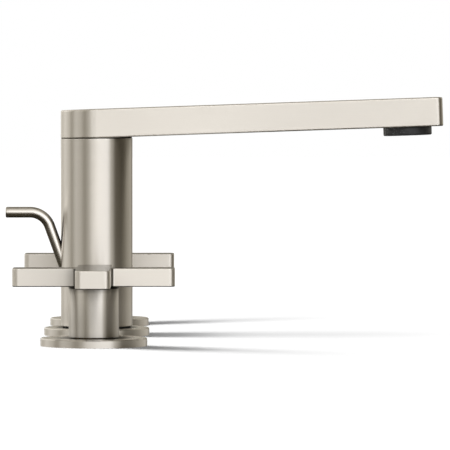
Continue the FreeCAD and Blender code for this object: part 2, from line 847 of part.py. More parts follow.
def valve_body(y):
    """Brass valve body: cartridge chamber, inlet below, and a hose port towards the spout."""
    towards = port_direction(valve_port_turn_degrees, -math.copysign(1, y))
    barrel_foot = -valve_barrel_below_deck
    inlet_foot = barrel_foot - valve_inlet_length
    port_z = barrel_foot + valve_port_above_foot
    chamber = cartridge_diameter / 2 + slip
    outside = turned([
        (0, inlet_foot),
        (valve_inlet_diameter / 2, inlet_foot),
        (valve_inlet_diameter / 2, barrel_foot),
        (valve_barrel_diameter / 2, barrel_foot),
        (valve_barrel_diameter / 2, -valve_shoulder_drop),
        (valve_neck_diameter / 2, -valve_shoulder_drop),
        (valve_neck_diameter / 2, valve_neck_height),
        (0, valve_neck_height),
    ], y=y)
    axis_at_port = vector(0, y, port_z)
    port = hose_port(
        axis_at_port, valve_port_turn_degrees, -math.copysign(1, y), valve_port_reach
    )
    gallery = valve_gallery_diameter / 2
    gallery_foot = moving_disc_foot_z - valve_gallery_margin
    gallery_top = moving_disc_foot_z + cartridge_window_height + valve_gallery_margin
    passage_radius = valve_passage_diameter / 2
    passage = axis_at_port + towards * (chamber + passage_radius)
    inside = [
        cylinder(chamber, seat_z, valve_neck_height, 0, y),
        cylinder(gallery, gallery_foot, gallery_top, 0, y),
        cylinder(disc_seal_bore_diameter / 2, inlet_foot, seat_z, 0, y),
        cylinder(valve_inlet_bore_diameter / 2, inlet_foot, inlet_foot + valve_inlet_length, 0, y),
        cylinder(passage_radius, port_z, gallery_foot, passage.x, passage.y),
        Part.makeCylinder(
            port_bore_diameter / 2, valve_port_reach, passage - towards * passage_radius, towards
        ),
    ]
    return outside.fuse(port).cut(inside).removeSplitter()


def lock_nut(y):
    """Large hexagon nut that clamps the valve from below."""
    high = -deck_thickness - valve_rubber_thickness - valve_steel_thickness
    low = high - lock_nut_height
    return prism(hexagon(lock_nut_flats, 0, y), low, high).cut(
        cylinder(valve_barrel_diameter / 2 + face_gap, low, high, 0, y)
    )


def valve_washer(thickness, top, y):
    """Plain washer round the valve's barrel."""
    inner = valve_barrel_diameter / 2 + slip
    return ring(inner, valve_washer_diameter / 2, top - thickness, top, 0, y)


def spout_nodes():
    """Every sub-part of the spout, by name."""
    under = -deck_thickness
    rubber_foot = under - clamp_rubber_thickness
    return {
        "spout_arm": spout_arm(),
        "tube_seal": tube_seal(),
        "aerator_housing": aerator_housing(),
        "aerator_grid": aerator_grid(),
        "aerator_core": aerator_core(),
        "aerator_washer": aerator_washer(),
        "spout_column": spout_column(),
        "base_plug": base_plug(),
        "base_seal": base_seal(),
        "spout_escutcheon": spout_escutcheon(),
        "spout_gasket": escutcheon_gasket(spout_escutcheon_diameter, 0),
        "water_tube": water_tube(),
        "mounting_stud": mounting_stud(),
        "clamp_rubber": clamp_plate(rubber_foot, under),
        "clamp_bracket": clamp_plate(rubber_foot - clamp_steel_thickness, rubber_foot),
        "stud_nut": stud_nut(),
        "supply_tee": supply_tee(),
        "lift_rod": lift_rod(),
        "rod_guide": rod_guide(),
    }


def valve_nodes(side, y):
    """Every sub-part of one valve and its handle, by name."""
    under = -deck_thickness
    shapes = {
        "cross": handle_cross(y),
        "skirt": handle_skirt(y),
        "set_screw": set_screw(y),
        "stem": valve_stem(y),
        "stem_clip": stem_clip(y),
        "stem_ring": stem_ring(y),
        "moving_disc": moving_disc(y),
        "fixed_disc": fixed_disc(y),
        "disc_seal": disc_seal(y),
        "cartridge": cartridge_body(y),
        "cartridge_ring": cartridge_ring(y),
        "valve_body": valve_body(y),
        "escutcheon": escutcheon(handle_escutcheon_diameter, valve_neck_diameter / 2 + slip, y),
        "gasket": escutcheon_gasket(handle_escutcheon_diameter, y),
        "rubber_washer": valve_washer(valve_rubber_thickness, under, y),
        "steel_washer": valve_washer(valve_steel_thickness, under - valve_rubber_thickness, y),
        "lock_nut": lock_nut(y),
    }
    return {f"{side}_{name}": shape for name, shape in shapes.items()}


def main():
    """Builds every node and writes one STEP file for each."""
    os.makedirs("parts", exist_ok=True)
    nodes = spout_nodes()
    for side, y in handle_ys.items():
        nodes.update(valve_nodes(side, y))
    for name, shape in nodes.items():
        shape.exportStep(os.path.join("parts", name + ".step"))


main()
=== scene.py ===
import json
import math

import bmesh
import bpy
import numpy as np
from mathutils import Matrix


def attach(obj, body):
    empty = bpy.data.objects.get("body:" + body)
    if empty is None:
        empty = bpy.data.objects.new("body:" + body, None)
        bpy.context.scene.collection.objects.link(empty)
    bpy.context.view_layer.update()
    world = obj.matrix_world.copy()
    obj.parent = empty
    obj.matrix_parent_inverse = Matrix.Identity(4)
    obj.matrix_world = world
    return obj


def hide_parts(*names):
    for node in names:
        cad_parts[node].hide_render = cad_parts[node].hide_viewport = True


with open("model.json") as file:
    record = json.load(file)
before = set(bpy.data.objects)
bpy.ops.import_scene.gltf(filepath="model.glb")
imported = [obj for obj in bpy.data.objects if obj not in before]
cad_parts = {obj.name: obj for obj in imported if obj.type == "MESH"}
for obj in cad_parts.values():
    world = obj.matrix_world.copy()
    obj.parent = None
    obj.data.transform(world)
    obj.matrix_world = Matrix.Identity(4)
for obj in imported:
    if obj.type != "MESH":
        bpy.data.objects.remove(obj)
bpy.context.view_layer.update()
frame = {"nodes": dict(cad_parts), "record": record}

nodes = frame["nodes"]
print("frame loaded:", len(nodes), "nodes")

mm = 0.001  # the dictionaries of the pieces are in millimetres, as on a drawing
deckSpots = {"spout": (0.0, 0.0), "hot": (0.0, -101.6), "cold": (0.0, 101.6)}
handles = {"hot": -1, "cold": 1}  # on which side of the spout each one stands, along Y
white = (1, 1, 1, 1)

camera = {
    "place": (0.036, -2.437, 0.13105),
    "turn": 0.01298,  # radians to the right of +Y
    "dip": 0.0300,  # radians below level
    "lens": 369.9,
    "sensor": 36.0,
    "sight": 50.0,  # metres
}


def makeCamera():
    data = bpy.data.cameras.new("photoCamera")
    data.lens = camera["lens"]
    data.sensor_width = camera["sensor"]
    data.clip_end = camera["sight"]
    cam = bpy.data.objects.new("photoCamera", data)
    bpy.context.scene.collection.objects.link(cam)
    cam.location = camera["place"]
    cam.rotation_euler = (math.pi / 2 - camera["dip"], 0, -camera["turn"])
    bpy.context.scene.camera = cam


# Small helpers for a node tree t. A socket given as an input is linked, anything else is set on it.
def node(t, kind, inputs=None, **settings):
    made = t.nodes.new(kind)
    for key, value in settings.items():
        setattr(made, key, value)
    for key, value in (inputs or {}).items():
        if isinstance(value, bpy.types.NodeSocket):
            t.links.new(value, made.inputs[key])
        else:
            made.inputs[key].default_value = value
    return made


def maths(t, operation, *values):
    return node(t, "ShaderNodeMath", dict(enumerate(values)), operation=operation).outputs[0]


def vectors(t, operation, *values):
    return node(t, "ShaderNodeVectorMath", dict(enumerate(values)), operation=operation).outputs[0]


def lengths(t, operation, *values):
    return node(t, "ShaderNodeVectorMath", dict(enumerate(values)), operation=operation).outputs["Value"]


def scaled(t, vector, factor):
    return node(t, "ShaderNodeVectorMath", {0: vector, "Scale": factor}, operation="SCALE").outputs[0]


def axes(t, vector):
    return node(t, "ShaderNodeSeparateXYZ", {"Vector": vector}).outputs


def joined(t, x, y, z):
    return node(t, "ShaderNodeCombineXYZ", {"X": x, "Y": y, "Z": z}).outputs[0]


def pick(t, share, first, second):
    return node(t, "ShaderNodeMix", {0: share, 2: first, 3: second}, data_type="FLOAT").outputs[0]


def pickVector(t, share, first, second):
    return node(t, "ShaderNodeMix", {0: share, 4: first, 5: second}, data_type="VECTOR").outputs[1]


def mixed(t, share, first, second):
    return node(t, "ShaderNodeMixShader", {0: share, 1: first, 2: second}).outputs[0]


def added(t, first, second):
    return node(t, "ShaderNodeAddShader", {0: first, 1: second}).outputs[0]


# a smooth step over the span, upwards, or downwards where the span ends lower than it starts
def easeIn(t, value, span):
    return node(t, "ShaderNodeMapRange", {
        "Value": value, "From Min": span[0], "From Max": span[1]}, interpolation_type="SMOOTHSTEP").outputs[0]


# 1 where the share is 0, and the given value where it is 1
def fadeTo(t, share, value):
    return maths(t, "MULTIPLY_ADD", share, value - 1, 1.0)


# the given value where the share is 0, and 1 where it is 1
def riseFrom(t, share, value):
    return maths(t, "MULTIPLY_ADD", share, 1 - value, value)


def ramp(t, fac, stops, mode="LINEAR"):
    made = node(t, "ShaderNodeValToRGB", {"Fac": fac})
    made.color_ramp.interpolation = mode
    elements = made.color_ramp.elements
    elements.remove(elements[1])
    elements[0].position = stops[0][0]
    elements[0].color = (*stops[0][1], 1)
    for place, colour in stops[1:]:
        elements.new(place).color = (*colour, 1)
    return made.outputs["Color"]


# a ramp of greys from stops of (place, tone) in millimetres, which takes in the places from start to end
def greyRamp(t, value, stops, start, end):
    share = maths(t, "MULTIPLY_ADD", value, 1 / ((end - start) * mm), -start / (end - start))
    return ramp(t, share, [((place - start) / (end - start), (v, v, v)) for place, v in stops])


def freshTree(holder):
    holder.use_nodes = True
    holder.node_tree.nodes.clear()
    return holder.node_tree


studio = {
    # what the metal reflects, by compass angle from the camera, positive towards the spout's tip
    "wall": [
        (-180, 0.42), (-160, 1.1), (-146, 0.92), (-122, 1.36), (-100, 1.07), (-89, 0.65), (-70, 1.25),
        (-56, 1.08), (-38, 0.65), (-26, 1), (-14, 1.7), (0, 1.94), (10, 2.19), (26, 2.23), (37, 2.23),
        (50, 0.98), (66, 0.22), (84, 0.21), (100, 0.33), (122, 0.59), (146, 0.71), (162, 0.25), (180, 0.42),
    ],
    # and how bright that wall is by height, as the sine of the angle above the horizon
    "height": [
        (-1.0, 0.03), (-0.45, 0.04), (-0.25, 0.08), (-0.13, 0.22), (0.0, 0.88), (0.10, 1.0), (0.50, 0.84),
        (0.74, 0.56), (0.90, 0.42), (1.0, 0.38),
    ],
    "warmth": (1.0, 1.045, 1.158),  # power of the tone in red, green and blue, so darker parts are browner
    "neutral": 1.9,  # the tone that stays without a tint
    "soft": 0.85,  # what matte surfaces get from all round
}


def background(t, colour, strength):
    return node(t, "ShaderNodeBackground", {"Color": colour, "Strength": strength}).outputs[0]


def makeWorld():
    world = bpy.data.worlds.new("studio")
    bpy.context.scene.world = world
    t = freshTree(world)
    warmth, neutral = studio["warmth"], studio["neutral"]
    x, y, z = axes(t, node(t, "ShaderNodeTexCoord").outputs["Generated"])
    angle = maths(t, "ARCTAN2", x, maths(t, "MULTIPLY", y, -1.0))
    turn = maths(t, "MULTIPLY_ADD", angle, 1 / (2 * math.pi), 0.5)
    wall = ramp(t, turn, [((a + 180) / 360, [neutral * (v / neutral) ** w for w in warmth])
                          for a, v in studio["wall"]], "EASE")
    level = maths(t, "MULTIPLY_ADD", z, 0.5, 0.5)
    height = ramp(t, level, [((h + 1) / 2, [v ** w for w in warmth]) for h, v in studio["height"]], "EASE")
    ray = node(t, "ShaderNodeLightPath").outputs
    soft = background(t, white, studio["soft"])
    room = background(t, vectors(t, "MULTIPLY", wall, height), 1.0)
    lit = mixed(t, ray["Is Glossy Ray"], soft, room)
    seen = mixed(t, ray["Is Camera Ray"], lit, background(t, white, 1.0))
    node(t, "ShaderNodeOutputWorld", {"Surface": seen})


# a round lamp low on the left draws the three thin shadows that fan out to the right
lamp = {
    "place": (-0.155, -0.005, 0.052),
    "radius": 0.042,
    "watts": 30.0,
    "spares": ["hot_cross", "cold_cross", "hot_escutcheon", "cold_escutcheon", "spout_escutcheon"],
}
deck = {
    "reach": 6.0,
    "drop": 0.0001,  # below the escutcheons
    "tone": (0.30, 0.30, 0.30, 1),  # for rays that come neither from the camera nor from metal
    "top": 1.10,  # how bright the lit floor is for the camera, where 1 is white
    # how much of that the lamp gives, by the distance in millimetres past a box round the escutcheons
    "share": [
        (0, 0.82), (16, 0.71), (28, 0.565), (38, 0.43), (48, 0.34), (58, 0.295), (70, 0.26), (100, 0.215),
        (133, 0.15), (200, 0.0),
    ],
    "box": (0.028, 0.130, 1.0),  # half the size of that box, which is higher than anything on the deck
    # the strip of floor that the metal shows, on the right: how bright, and where it comes in and fades by X
    "strip": (0.24, (0.012, 0.040), (0.110, 0.060)),
}


# The floor that the camera sees. The lamp lights a white floor by watts * height / (4 pi^2 distance^3). The
# tone is the wanted share divided by that, and a glow fills up the rest.
def shownFloor(t, place):
    past = vectors(t, "SUBTRACT", vectors(t, "ABSOLUTE", place), deck["box"])
    away = lengths(t, "LENGTH", vectors(t, "MAXIMUM", past, (0, 0, 0)))
    share = greyRamp(t, away, deck["share"], 0, deck["share"][-1][0])
    given = lamp["watts"] * lamp["place"][2] / (4 * math.pi ** 2)
    cubed = maths(t, "POWER", lengths(t, "DISTANCE", place, lamp["place"]), 3.0)
    tone = maths(t, "MULTIPLY", maths(t, "MULTIPLY", cubed, 1 / given), share)
    fill = maths(t, "SUBTRACT", maths(t, "MULTIPLY_ADD", tone, -studio["soft"], deck["top"]), share)
    shaded = node(t, "ShaderNodeBsdfDiffuse", {"Color": tone}).outputs[0]
    glow = node(t, "ShaderNodeEmission", {"Strength": maths(t, "MAXIMUM", fill, 0.0)}).outputs[0]
    return added(t, shaded, glow)


# the floor that the metal sees: clear but for the strip
def mirroredFloor(t, place, clear):
    bright, comes, fades = deck["strip"]
    x = axes(t, place)["X"]
    share = maths(t, "MULTIPLY", easeIn(t, x, comes), easeIn(t, x, fades))
    strip = node(t, "ShaderNodeEmission", {"Strength": maths(t, "MULTIPLY", share, bright)}).outputs[0]
    return added(t, clear, strip)


def makeDeck():
    s, z = deck["reach"], -deck["drop"]
    mesh = bpy.data.meshes.new("deckFloor")
    mesh.from_pydata([(-s, -s, z), (s, -s, z), (s, s, z), (-s, s, z)], [], [(0, 1, 2, 3)])
    floor = bpy.data.objects.new("deckFloor", mesh)
    bpy.context.scene.collection.objects.link(floor)
    material = bpy.data.materials.new("deckFloor")
    t = freshTree(material)
    ray = node(t, "ShaderNodeLightPath").outputs
    face = node(t, "ShaderNodeNewGeometry").outputs
    matte = node(t, "ShaderNodeBsdfDiffuse", {"Color": deck["tone"]}).outputs[0]
    clear = node(t, "ShaderNodeBsdfTransparent").outputs[0]
    shown = mixed(t, ray["Is Camera Ray"], matte, shownFloor(t, face["Position"]))
    seen = mixed(t, ray["Is Glossy Ray"], shown, mirroredFloor(t, face["Position"], clear))
    oneSided = mixed(t, face["Backfacing"], seen, clear)
    node(t, "ShaderNodeOutputMaterial", {"Surface": oneSided})
    mesh.materials.append(material)
    return floor


# The lamp lights the floor alone, and the pieces that would widen its shadows cast none.
def makeLamp(floor):
    data = bpy.data.lights.new("leftLamp", "POINT")
    data.shadow_soft_size = lamp["radius"]
    data.energy = lamp["watts"]
    light = bpy.data.objects.new("leftLamp", data)
    bpy.context.scene.collection.objects.link(light)
    light.location = lamp["place"]
    light.visible_glossy = False
    light.visible_camera = False
    spared = bpy.data.collections.new("castNoLampShadow")
    for name in lamp["spares"]:
        spared.objects.link(nodes[name])
    light.light_linking.blocker_collection = spared
    for entry in spared.collection_objects:
        entry.light_linking.link_state = "EXCLUDE"
    lit = bpy.data.collections.new("litByLamp")
    lit.objects.link(floor)
    light.light_linking.receiver_collection = lit


makeCamera()
makeWorld()
makeLamp(makeDeck())
bpy.context.scene.view_settings.view_transform = "Standard"
print("studio ready")


# brushed nickel: fine lines that follow how each piece was brushed, and a gloss drawn out across them
nickel = {
    "light": (0.772, 0.735, 0.682),
    "dark": (0.756, 0.718, 0.664),
    # two layers of lines, broad and fine, with roughly how many there are in a metre across the brushing
    "lines": [
        {"number": 400.0, "detail": 2.0, "mix": 0.5, "share": 0.15},
        {"number": 3600.0, "detail": 3.0, "mix": 0.6, "share": 0.85},
    ],
    "along": 0.012,  # how much slower the pattern runs along the brushing
    "tones": (0.36, 0.64),  # values of the pattern at which the metal is dark and light
    "sheens": (0.35, 0.65),  # and at which it is smoothest and roughest
    "spread": 0.03,  # how much the lines change the roughness
    "dent": 0.03,
    "depth": 0.0001,  # metres
    "flat": 0.8,  # a face counts as level where its normal leans up or down by more than this
    "turn": 0.25,  # in turns, so the gloss is drawn out across the lines
    "rough": {"turned": 0.33, "bar": 0.33, "cross": 0.42, "rod": 0.26},
    "stretch": {"turned": 0.95, "bar": 0.95, "cross": 0.3, "rod": 0.5},
    # the bar and the crosses are drawn a little lighter and the rod darker than the turned pieces: painted
    # light and shade, for how light falls on each
    "tone": {"turned": 1.0, "bar": 1.035, "cross": 1.035, "rod": 0.84},
    "level": {"turned": 0.6, "bar": 0.6, "cross": 0.5},  # how rough level faces are, compared with the walls
}
# painted shade: where the metal's tone and sheen are drawn darker for shade and dark reflections that fall
# there; also a darker patch on the rod's bend
darkerTones = {
    # tone of a wall by height, with painted shade where the wall meets its neighbours and a near-black
    # painted shadow at the top of a skirt under its cross, and the radii between which the painted shade on
    # the escutcheon under it comes up to 1
    "spout": {"wall": [(4.1, 1.0), (4.3, 0.80), (16, 1.0)], "span": (18.85, 22.85)},
    "handle": {
        "wall": [(4.1, 1.0), (4.3, 0.60), (12, 0.78), (22, 1.0), (26.5, 1.0), (28.8, 0.65), (29.1, 0.06)],
        "span": (12.7, 22.2),
    },
    "wallTop": 40.0,  # height at which the walls' tones end
    # painted shade on an escutcheon's top beside its wall, in its tone and its sheen
    "escutcheon": (0.32, 2.0),  # tone of an escutcheon beside its wall, and which power of it its sheen takes
    # painted shade on a cross's walls by X, darker towards the hub on the side away from the light
    "hub": [
        (-41, 1.0), (-32, 0.96), (-25, 0.92), (-19, 0.885), (-15.5, 0.84), (-14, 0.775), (-12.5, 0.665),
        (-11, 0.56), (-9.6, 0.56), (-9.1, 1.0),
    ],
    # painted shade in a cross's inner corners
    "corner": (9.4, 1.2, 0.2),  # distance of a cross's inner corners from its middle planes, reach, and tone
    # painted shade on a cross's edges that lean down
    "under": ((-0.35, -0.02), 0.15),  # how far a cross's edges lean down, dullest first, and their tone there
    # painted shade: a cross's level faces drawn darker, and with less sheen at a grazing angle
    "top": 0.75,  # tone of a cross's level faces
    "rim": 0.5,  # how much of the sheen at a grazing angle these keep
    # how far above the rod's middle and how far from its free end its darker patch comes in, and its tone
    "darkPatch": ((0.9975, 2.1375), (16, 26), 0.2),
}


# Where to read the line pattern, and the way the lines run. On walls the lines are level. On level faces they
# go round the axis of a turned piece, along X on a bar, and along the nearer arm on a cross. A rod has its
# place when straight and its direction as attributes, and its lines run lengthwise.
def grainPosition(t, kind, centre):
    slow = nickel["along"]
    if kind == "rod":
        straight = node(t, "ShaderNodeAttribute", attribute_name="straight").outputs["Vector"]
        lengthwise = node(t, "ShaderNodeAttribute", attribute_name="lengthwise").outputs["Vector"]
        place = vectors(t, "MULTIPLY", straight, (1, 1, slow))
        parts = axes(t, straight)
        return {"place": place, "line": lengthwise, "outward": parts["Y"], "length": parts["Z"]}
    local = node(t, "ShaderNodeTexCoord").outputs["Object"]
    own = node(t, "ShaderNodeMapping", {
        "Vector": local, "Location": (-centre[0] * mm, -centre[1] * mm, 0)}).outputs[0]
    x, y, z = axes(t, own)
    normal = node(t, "ShaderNodeNewGeometry").outputs["Normal"]
    up = axes(t, normal)["Z"]
    isLevel = maths(t, "GREATER_THAN", maths(t, "ABSOLUTE", up), nickel["flat"])
    levelLine = (1, 0, 0)
    if kind == "turned":
        across = lengths(t, "LENGTH", vectors(t, "MULTIPLY", own, (1, 1, 0)))
        levelLine = vectors(t, "CROSS_PRODUCT", (0, 0, 1), own)
    elif kind == "bar":
        across = y
    else:
        onX = maths(t, "GREATER_THAN", maths(t, "ABSOLUTE", x), maths(t, "ABSOLUTE", y))
        across = pick(t, onX, x, y)
        levelLine = joined(t, onX, maths(t, "SUBTRACT", 1.0, onX), 0.0)
    fast = pick(t, isLevel, z, across)
    place = joined(t, maths(t, "MULTIPLY", x, slow), maths(t, "MULTIPLY", y, slow), fast)
    line = pickVector(t, isLevel, vectors(t, "CROSS_PRODUCT", (0, 0, 1), normal), levelLine)
    return {
        "place": place, "line": line, "isLevel": isLevel, "across": across, "x": x, "y": y, "z": z, "up": up}


def brushLines(t, place):
    lines = 0.0
    for layer in nickel["lines"]:
        noise = node(t, "ShaderNodeTexNoise", {
            "Vector": place, "Scale": layer["number"], "Detail": layer["detail"], "Roughness": layer["mix"]})
        lines = maths(t, "MULTIPLY_ADD", noise.outputs["Fac"], layer["share"], lines)
    return lines


# Each of these three gives the metal's tone, and how much of its sheen at a grazing angle it keeps: painted
# shade on turned pieces and crosses, and a darker patch on the rod.
def rodDarkPatch(t, grain):
    height, length, least = darkerTones["darkPatch"]
    darkPatch = maths(t, "MULTIPLY", easeIn(t, grain["outward"], [d * mm for d in height]),
                   easeIn(t, grain["length"], [d * mm for d in length]))
    clear = fadeTo(t, darkPatch, least)
    return clear, clear


def turnedPaintedShade(t, grain, stand):
    least, power = darkerTones["escutcheon"]
    beside = riseFrom(t, easeIn(t, grain["across"], [d * mm for d in darkerTones[stand]["span"]]), least)
    beside = maths(t, "MAXIMUM", beside, maths(t, "SUBTRACT", 1.0, grain["isLevel"]))
    wall = greyRamp(t, grain["z"], darkerTones[stand]["wall"], 0, darkerTones["wallTop"])
    return maths(t, "MULTIPLY", beside, wall), maths(t, "POWER", beside, power)


def crossPaintedShade(t, grain):
    corner, reach, least = darkerTones["corner"]
    larger = maths(t, "MAXIMUM", maths(t, "ABSOLUTE", grain["x"]), maths(t, "ABSOLUTE", grain["y"]))
    away = maths(t, "ABSOLUTE", maths(t, "SUBTRACT", larger, corner * mm))
    clear = riseFrom(t, easeIn(t, away, (0, reach * mm)), least)
    hub = greyRamp(t, grain["x"], darkerTones["hub"], darkerTones["hub"][0][0], 0)
    clear = maths(t, "MAXIMUM", maths(t, "MULTIPLY", clear, hub), grain["isLevel"])
    lean, least = darkerTones["under"]
    clear = maths(t, "MULTIPLY", clear, riseFrom(t, easeIn(t, grain["up"], lean), least))
    clear = maths(t, "MULTIPLY", clear, fadeTo(t, grain["isLevel"], darkerTones["top"]))
    return clear, fadeTo(t, grain["isLevel"], darkerTones["rim"])


def brushedNickel(name, kind, centre=(0.0, 0.0), stand=None):
    material = bpy.data.materials.new(name)
    t = freshTree(material)
    grain = grainPosition(t, kind, centre)
    lines = brushLines(t, grain["place"])
    dark, light = [[v * nickel["tone"][kind] for v in nickel[shade]] for shade in ("dark", "light")]
    tone = ramp(t, lines, list(zip(nickel["tones"], (dark, light))))
    low, high = nickel["sheens"]
    middle, spread = nickel["rough"][kind], nickel["spread"]
    rough = node(t, "ShaderNodeMapRange", {
        "Value": lines, "From Min": low, "From Max": high,
        "To Min": middle - spread, "To Max": middle + spread}).outputs[0]
    if kind in nickel["level"]:
        rough = maths(t, "MULTIPLY", rough, fadeTo(t, grain["isLevel"], nickel["level"][kind]))
    sheen = white
    # painted shade darkens the tone and the sheen here, and the rod gets its darker patch
    if kind in ("rod", "cross") or stand:
        if kind == "rod":
            clear, keeps = rodDarkPatch(t, grain)
        elif kind == "cross":
            clear, keeps = crossPaintedShade(t, grain)
        else:
            clear, keeps = turnedPaintedShade(t, grain, stand)
        tone = scaled(t, tone, clear)
        sheen = joined(t, keeps, keeps, keeps)
    bump = node(t, "ShaderNodeBump", {
        "Height": lines, "Strength": nickel["dent"], "Distance": nickel["depth"]}).outputs[0]
    shader = node(t, "ShaderNodeBsdfPrincipled", {
        "Base Color": tone, "Metallic": 1.0, "Roughness": rough, "Normal": bump, "Specular Tint": sheen,
        "Tangent": grain["line"], "Anisotropic": nickel["stretch"][kind],
        "Anisotropic Rotation": nickel["turn"]})
    node(t, "ShaderNodeOutputMaterial", {"Surface": shader.outputs[0]})
    return material


# the other finishes have an even grain, the same in all directions
evenGrain = {"detail": 4.0, "tones": (0.3, 0.7), "unevenness": 0.06, "depth": 0.0001}


def plain(name, colour, rough, metal=0.0, number=900, dent=0.1, spread=0.18, gloss=0.5):
    material = bpy.data.materials.new(name)
    t = freshTree(material)
    local = node(t, "ShaderNodeTexCoord").outputs["Object"]
    grain = node(t, "ShaderNodeTexNoise", {
        "Vector": local, "Scale": number, "Detail": evenGrain["detail"]}).outputs["Fac"]
    dark = [c * (1 - spread) for c in colour]
    tone = ramp(t, grain, list(zip(evenGrain["tones"], (dark, colour))))
    least, most = rough - evenGrain["unevenness"], rough + evenGrain["unevenness"]
    roughness = node(t, "ShaderNodeMapRange", {"Value": grain, "To Min": least, "To Max": most}).outputs[0]
    bump = node(t, "ShaderNodeBump", {
        "Height": grain, "Strength": dent, "Distance": evenGrain["depth"]}).outputs[0]
    shader = node(t, "ShaderNodeBsdfPrincipled", {
        "Base Color": tone, "Metallic": metal, "Roughness": roughness, "Normal": bump,
        "Specular IOR Level": gloss})
    node(t, "ShaderNodeOutputMaterial", {"Surface": shader.outputs[0]})
    return material


finishes = {
    "brushed_nickel": brushedNickel("brushedNickel", "turned"),
    "black_plastic": plain("blackPlastic", (0.045, 0.046, 0.048), 0.42),
    "grey_plastic": plain("greyPlastic", (0.5, 0.51, 0.51), 0.45),
    "black_rubber": plain("blackRubber", (0.012, 0.012, 0.012), 0.7, gloss=0.2),
    "foam_gasket": plain("foamGasket", (0.10, 0.10, 0.095), 0.85, number=2500, dent=0.5),
    "brass": plain("machinedBrass", (0.72, 0.50, 0.22), 0.28, 1.0),
    "copper": plain("drawnCopper", (0.80, 0.42, 0.26), 0.30, 1.0),
    "zinc_steel": plain("zincSteel", (0.62, 0.64, 0.66), 0.34, 1.0),
    "ceramic": plain("polishedCeramic", (0.86, 0.84, 0.78), 0.12, dent=0.0),
}
for part in frame["record"]["subparts"]:
    piece = nodes[part["node"]]
    piece.data.materials.clear()
    piece.data.materials.append(finishes[part["material_slot"]])

for spot, centre in deckSpots.items():
    wall, stand = ("skirt", "handle") if spot in handles else ("column", "spout")
    turnedNickel = brushedNickel(spot + "TurnedNickel", "turned", centre, stand)
    nodes[f"{spot}_{wall}"].data.materials[0] = turnedNickel
    nodes[spot + "_escutcheon"].data.materials[0] = turnedNickel
    if spot in handles:
        nodes[spot + "_cross"].data.materials[0] = brushedNickel(spot + "CrossNickel", "cross", centre)
nodes["spout_arm"].data.materials[0] = brushedNickel("armNickel", "bar")
print("finishes on", len(nodes), "nodes")


tiny = 1e-9  # stands for lengths and angles of nothing where they divide
flank = (0.15, 0.85)  # where a thread's flank starts and ends, from the crest at 0 to the root at 1
chamfer = {"circle": 0.475, "slope": 0.55}  # of a hexagon: its circle in flats, and how steeply it comes down
# metres between points that become one, and the angle in degrees above which an edge stays sharp
merging = {"gap": 1e-7, "crease": 38.0}


# directions scaled to length 1: each is divided by its length
def unit(ways):
    return ways / np.maximum(np.linalg.norm(ways, axis=-1, keepdims=True), tiny)


# Rounds an outline of (radius, height, rounding) corners. The arc's centre lies on the corner's bisector,
# rounding / sin(half angle) away, and the arc runs between the two points rounding / tan(half angle) back.
def softProfile(corners, steps=4):
    table = np.array(corners, float)
    corner, rounding = table[:, :2], table[:, 2:]
    back = unit(np.roll(corner, 1, 0) - corner)
    ahead = unit(np.roll(corner, -1, 0) - corner)
    half = np.maximum(np.arccos(np.clip((back * ahead).sum(1, keepdims=True), -1, 1)) / 2, tiny)
    centre = corner + unit(back + ahead) * rounding / np.sin(half)
    start = corner + back * rounding / np.tan(half) - centre
    end = corner + ahead * rounding / np.tan(half) - centre
    first = np.arctan2(start[:, 1], start[:, 0])[:, None]
    sweep = np.arctan2(end[:, 1], end[:, 0])[:, None] - first
    sweep = (sweep + math.pi) % (2 * math.pi) - math.pi
    angle = first + sweep * np.linspace(0, 1, steps + 1)
    arc = rounding[:, None] * np.stack([np.cos(angle), np.sin(angle)], -1)
    return (centre[:, None] + arc).reshape(-1, 2)


# the directions round an axis in equal steps, one in each line
def ringAngles(around):
    return np.linspace(0, 2 * math.pi, around, endpoint=False)[:, None]


# How much a slope up along X climbs for each millimetre of radius: tan(rise) * cos(angle).
def climbAlongX(rise, around):
    return math.tan(math.radians(rise)) * np.cos(ringAngles(around))


# The rows of a piece round an axis are two arrays, the radius and the height, with a column for each row of
# points and either one line or a line for each angle. This puts several such sets of rows one after another.
def joinRows(around, *sets):
    wide = [[np.broadcast_to(values, (around, values.shape[1])) for values in rows] for rows in sets]
    return np.hstack([rows[0] for rows in wide]), np.hstack([rows[1] for rows in wide])


# The rows of an outline that is the same all round: the radius and the height of its points.
def plainRows(*corners):
    outline = softProfile(corners)
    return outline[None, :, 0], outline[None, :, 1]


# A thread is its outer radius, its depth and its pitch.
def rootRadius(thread):
    return thread[0] - thread[1]


# A screw thread: radius = outer - depth * tooth, where tooth follows the height / pitch - angle / full turn
# and goes from 0 on the crest to 1 in the root in a straight flank, and dies out over one pitch at each end.
def threadRows(thread, low, high, around, rowsPerPitch=10):
    outer, depth, pitch = thread
    count = max(int(abs(high - low) / pitch * rowsPerPitch), 2)
    height = np.linspace(low, high, count)[None]
    place = (height / pitch - ringAngles(around) / (2 * math.pi)) % 1
    tooth = np.interp(abs(2 * place - 1), flank, (0, 1))
    ends = np.clip(np.minimum(abs(height - low), abs(high - height)) / pitch, 0, 1)
    return outer - depth * tooth * ends, height + 0 * place


# A threaded length from low to high. Each end says how much narrower than the thread's root it starts, and
# how far in the side reaches the root and the thread begins.
def screwRows(thread, low, high, ends, around, rowsPerPitch=10):
    (lowCut, lowRoot, lowLead), (highCut, highRoot, highLead) = ends
    root = rootRadius(thread)
    return joinRows(
        around,
        plainRows((root - lowCut, low, 0), (root, low + lowRoot, 0)),
        threadRows(thread, low + lowLead, high - highLead, around, rowsPerPitch),
        plainRows((root, high - highRoot, 0), (root - highCut, high, 0)))


# How far a hexagon's side lies from its axis in each direction: half its flats divided by the cosine of the
# angle from the side's middle.
def hexagonReach(flats, around):
    return flats / 2 / np.cos(ringAngles(around) % (math.pi / 3) - math.pi / 6)


